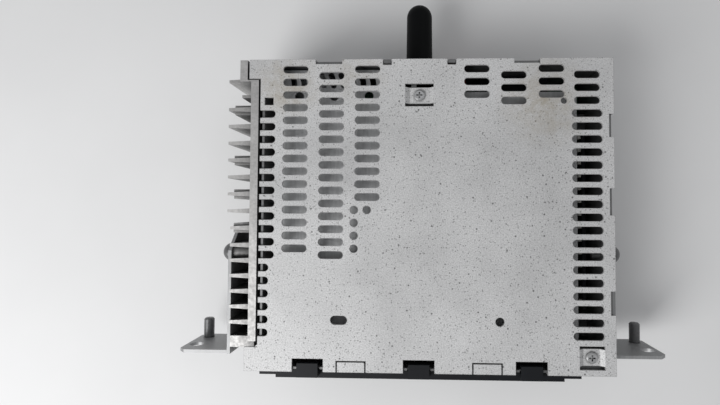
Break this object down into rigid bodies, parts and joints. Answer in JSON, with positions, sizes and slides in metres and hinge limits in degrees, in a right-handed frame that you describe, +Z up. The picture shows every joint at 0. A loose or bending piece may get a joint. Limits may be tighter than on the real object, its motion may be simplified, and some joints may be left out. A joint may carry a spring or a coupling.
{
  "type": "car cd player",
  "caption": "Bare slot-loading car disc player unit: vented steel case, finned heat sink, eared side brackets, rear stud with a rubber boot, and a full disc mechanism inside.",
  "frame": {"origin": "centre of the bottom face, on the unit's centre line", "axes": "+X to the unit's right seen from the front, +Y to the rear, +Z up; the disc slot faces -Y and the heat sink is on the -X side"},
  "size_m": [0.233, 0.1868, 0.0506],
  "materials": {
    "cover_steel": "galvanised, satin, with a fine dark speckle",
    "frame_steel": "zinc-plated, satin",
    "deck_steel": "zinc-plated, satin",
    "cast_aluminium": "die cast, dull",
    "black_plastic": "fine matt grain",
    "boot_rubber": "dull, moulded",
    "felt": "short black felt",
    "screw_steel": "bright zinc",
    "board": "green solder mask",
    "light_parts": "white moulded plastic",
    "chip_black": "moulded epoxy",
    "can_tin": "tinned",
    "capacitor_sleeve": "shrunk sleeve",
    "winding": "enamelled copper",
    "contact_brass": "bright",
    "fuse_body": "translucent moulding",
    "ribbon": "thin film",
    "lens_glass": "clear"
  },
  "bodies": {
    "chassis": {"amp_clip": "screw_steel", "amp_clip_screw": "screw_steel", "antenna_socket": "can_tin", "board_standoffs": "can_tin", "bottom_cover": "frame_steel", "bracket_left": "frame_steel", "bracket_right": "frame_steel", "bracket_screws": "screw_steel", "capacitors": "capacitor_sleeve", "choke_coil": "winding", "cover_screws": "screw_steel", "deck_base": "deck_steel", "deck_cover": "deck_steel", "deck_dampers": "boot_rubber", "deck_ribbon": "ribbon", "deck_screws": "screw_steel", "disc_guide": "black_plastic", "eject_switch": "black_plastic", "fascia_connector": "black_plastic", "front_board": "board", "front_panel": "black_plastic", "fuse": "fuse_body", "guide_rods": "screw_steel", "harness_pins": "contact_brass", "harness_socket": "black_plastic", "heat_sink": "cast_aluminium", "heat_sink_screws": "screw_steel", "loading_motor": "can_tin", "locating_pin_left": "screw_steel", "locating_pin_right": "screw_steel", "main_board": "board", "main_frame": "frame_steel", "power_amp_chip": "chip_black", "rear_boot": "boot_rubber", "rear_stud": "screw_steel", "side_board": "board", "side_board_parts": "light_parts", "sled_motor": "can_tin", "slot_felt_lower": "felt", "slot_felt_upper": "felt", "spindle_motor": "can_tin", "top_cover": "cover_steel", "tuner_can": "can_tin"},
    "eject_button": {"eject_button": "black_plastic"},
    "cam_slider": {"cam_slider": "deck_steel"},
    "clamp_arm": {"clamp_arm": "deck_steel"},
    "clamp_puck": {"clamp_puck": "light_parts"},
    "roller_arm": {"roller_arm": "deck_steel"},
    "roller": {"rubber_roller": "boot_rubber", "roller_shaft": "screw_steel", "roller_gear": "light_parts"},
    "idler_gear": {"idler_gear": "light_parts"},
    "worm": {"worm": "light_parts"},
    "turntable": {"turntable": "light_parts"},
    "sled": {"sled": "chip_black", "pickup_lens": "lens_glass"},
    "lead_screw": {"lead_screw": "screw_steel"}
  },
  "joints": [
    {"name": "eject_press", "type": "slide", "parent": "chassis", "child": "eject_button", "axis": [0, 1, 0], "range_m": [0, 0.0012], "stiffness_N_per_m": 400, "springref_m": -0.0005},
    {"name": "mode_slide", "type": "slide", "parent": "chassis", "child": "cam_slider", "axis": [0, 1, 0], "range_m": [0, 0.012]},
    {"name": "clamp_swing", "type": "hinge", "parent": "chassis", "child": "clamp_arm", "pos_m": [0.004, 0.046, 0.0384], "axis": [1, 0, 0], "range_deg": [0, 3]},
    {"name": "puck_spin", "type": "hinge", "parent": "clamp_arm", "child": "clamp_puck", "pos_m": [0.004, -0.002, 0.039], "axis": [0, 0, 1], "continuous": true},
    {"name": "roller_drop", "type": "hinge", "parent": "chassis", "child": "roller_arm", "pos_m": [0.003, -0.046, 0.028], "axis": [1, 0, 0], "range_deg": [0, 7]},
    {"name": "roller_spin", "type": "hinge", "parent": "roller_arm", "child": "roller", "pos_m": [0.003, -0.05736, 0.029], "axis": [1, 0, 0], "continuous": true},
    {"name": "idler_spin", "type": "hinge", "parent": "roller_arm", "child": "idler_gear", "pos_m": [0.0671, -0.046, 0.028], "axis": [1, 0, 0], "continuous": true},
    {"name": "loading_motor_spin", "type": "hinge", "parent": "chassis", "child": "worm", "pos_m": [0.0671, -0.046, 0.01699], "axis": [0, 1, 0], "continuous": true},
    {"name": "spindle_spin", "type": "hinge", "parent": "chassis", "child": "turntable", "pos_m": [0.004, -0.002, 0.025], "axis": [0, 0, 1], "continuous": true},
    {"name": "sled_travel", "type": "slide", "parent": "chassis", "child": "sled", "axis": [-1, 0, 0], "range_m": [0, 0.036]},
    {"name": "lead_screw_spin", "type": "hinge", "parent": "chassis", "child": "lead_screw", "pos_m": [-0.04, -0.022, 0.017], "axis": [1, 0, 0], "range_deg": [0, 5640]}
  ],
  "couplings": [
    {"joint": "clamp_swing", "follows": "mode_slide", "rad_per_m": 4.3629},
    {"joint": "roller_drop", "follows": "mode_slide", "rad_per_m": 10.18},
    {"joint": "idler_spin", "follows": "roller_spin", "ratio": -0.46154},
    {"joint": "loading_motor_spin", "follows": "roller_spin", "ratio": 12},
    {"joint": "lead_screw_spin", "follows": "sled_travel", "rad_per_m": 2726.9}
  ]
}
